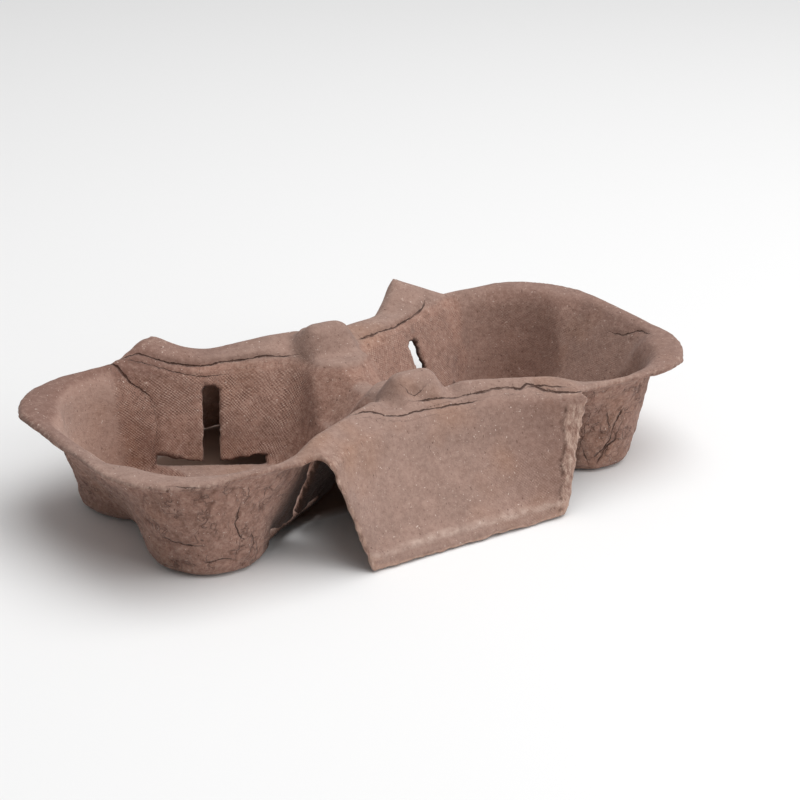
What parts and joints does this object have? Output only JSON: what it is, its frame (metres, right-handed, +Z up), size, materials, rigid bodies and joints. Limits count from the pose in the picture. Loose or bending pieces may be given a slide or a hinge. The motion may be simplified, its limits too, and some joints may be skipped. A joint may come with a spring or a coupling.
{
  "type": "moulded pulp cup carrier",
  "caption": "Moulded pulp tray with lobed side-by-side pockets for paper cups, slotted springy walls, sloping side panels and a low saddle between raised knobs",
  "frame": {"origin": "on the table surface, midway between the pockets and between the side panels", "axes": "+X along the row of pockets, +Y across the tray to the back side panel, +Z up"},
  "size_m": [0.1954, 0.109, 0.041],
  "materials": {
    "pulp": "matte, rough recycled fibre"
  },
  "bodies": {
    "root": {"cup_carrier": "pulp"}
  },
  "joints": []
}
